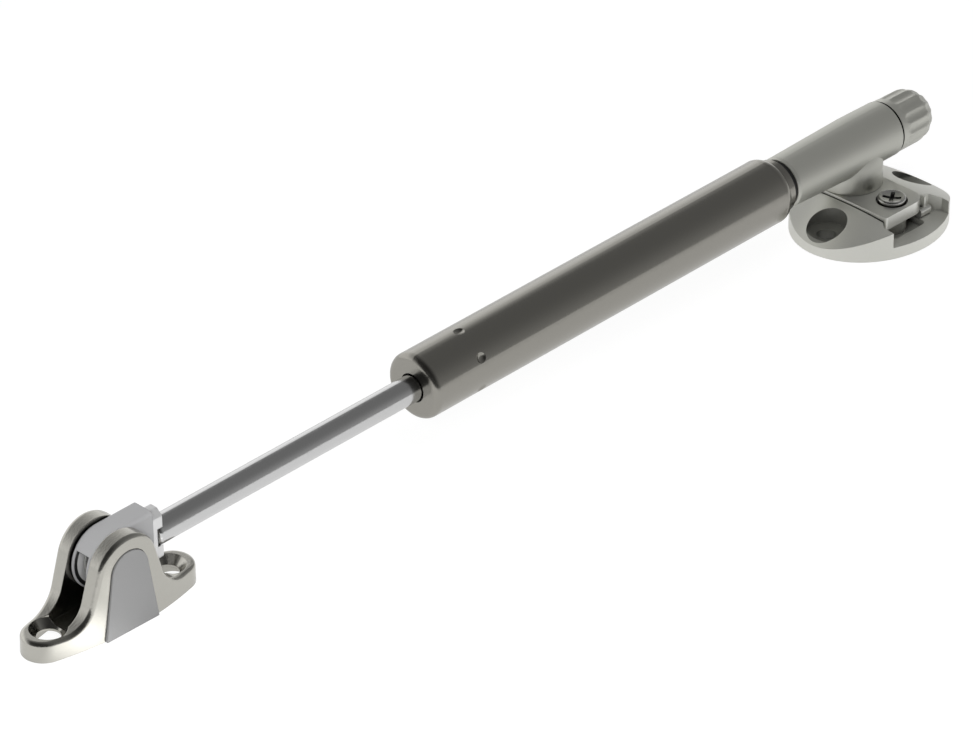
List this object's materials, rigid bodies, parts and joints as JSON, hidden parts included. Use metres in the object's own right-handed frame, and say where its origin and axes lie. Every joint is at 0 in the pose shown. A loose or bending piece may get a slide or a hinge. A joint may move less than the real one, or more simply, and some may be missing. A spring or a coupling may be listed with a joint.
{
  "type": "lid stay",
  "caption": "Adjustable damped lid stay: a telescoping strut between a swivelling wall plate and a pivoting flap bracket.",
  "frame": {"origin": "centre of the oval base plate on its mounting face", "axes": "+Z out of the mounting face, +X along the strut from the flap bracket towards the adjusting knob"},
  "size_m": [0.2692, 0.0332, 0.0247],
  "materials": {
    "plate_nickel": "satin nickel plated die casting",
    "block_zinc": "bright nickel plated die casting",
    "bracket_nickel": "satin nickel plated die casting",
    "tube_nickel": "dark satin nickel",
    "rod_chrome": "polished",
    "screw_steel": "bright nickel plated",
    "collar_steel": "bright zinc plated",
    "brass_parts": "turned",
    "black_rubber": "matte",
    "guide_plastic": "matte",
    "grey_plastic": "fine matte",
    "fork_grey": "fine silk"
  },
  "bodies": {
    "cabinet_base": {"base_plate": "plate_nickel", "carriage_block": "block_zinc"},
    "lock_screw": {"locking_screw": "screw_steel"},
    "strut_arm": {"pivot_holder": "plate_nickel", "swivel_pin": "screw_steel", "swivel_washer": "screw_steel", "swivel_ring": "screw_steel", "rear_plug": "tube_nickel", "plug_o_ring": "black_rubber", "gap_ring": "black_rubber", "outer_tube": "tube_nickel", "front_guide": "guide_plastic", "rod_seal": "black_rubber", "stop_buffer": "black_rubber"},
    "knob": {"adjusting_knob": "plate_nickel", "adjusting_spindle": "screw_steel", "spindle_ring": "screw_steel"},
    "needle": {"valve_needle": "brass_parts"},
    "piston_body": {"piston": "guide_plastic", "piston_ring": "black_rubber"},
    "rod": {"piston_rod": "rod_chrome", "piston_nut": "screw_steel", "rod_end_collar": "collar_steel", "rod_end_fork": "fork_grey", "pivot_bush": "collar_steel"},
    "flap_end": {"flap_bracket": "bracket_nickel", "near_cover": "grey_plastic", "far_cover": "grey_plastic", "pivot_pin": "screw_steel"}
  },
  "joints": [
    {"name": "lock_screw_turn", "type": "hinge", "parent": "cabinet_base", "child": "lock_screw", "pos_m": [-0.0003, -0.0066, 0.009], "axis": [0, 0, 1], "range_deg": [0, 270]},
    {"name": "swivel", "type": "hinge", "parent": "cabinet_base", "child": "strut_arm", "pos_m": [0, 0.0059, 0.0083], "axis": [0, 0, 1], "continuous": true},
    {"name": "knob_turn", "type": "hinge", "parent": "strut_arm", "child": "knob", "pos_m": [0, 0.0059, 0.01726], "axis": [1, 0, 0], "range_deg": [0, 540]},
    {"name": "needle_feed", "type": "slide", "parent": "strut_arm", "child": "needle", "axis": [-1, 0, 0], "range_m": [0, 0.0012]},
    {"name": "rod_stroke", "type": "slide", "parent": "strut_arm", "child": "piston_body", "axis": [0.9998, 0, 0.0183], "range_m": [0, 0.054]},
    {"name": "rod_spin", "type": "hinge", "parent": "piston_body", "child": "rod", "pos_m": [0, 0.0059, 0.0177], "axis": [0.9998, 0, 0.0183], "continuous": true},
    {"name": "flap_pivot", "type": "hinge", "parent": "rod", "child": "flap_end", "pos_m": [-0.22426, 0.0059, 0.0136], "axis": [0, 1, 0], "range_deg": [-10, 120]}
  ],
  "couplings": [
    {"joint": "needle_feed", "follows": "knob_turn", "m_per_rad": 0.000127}
  ]
}
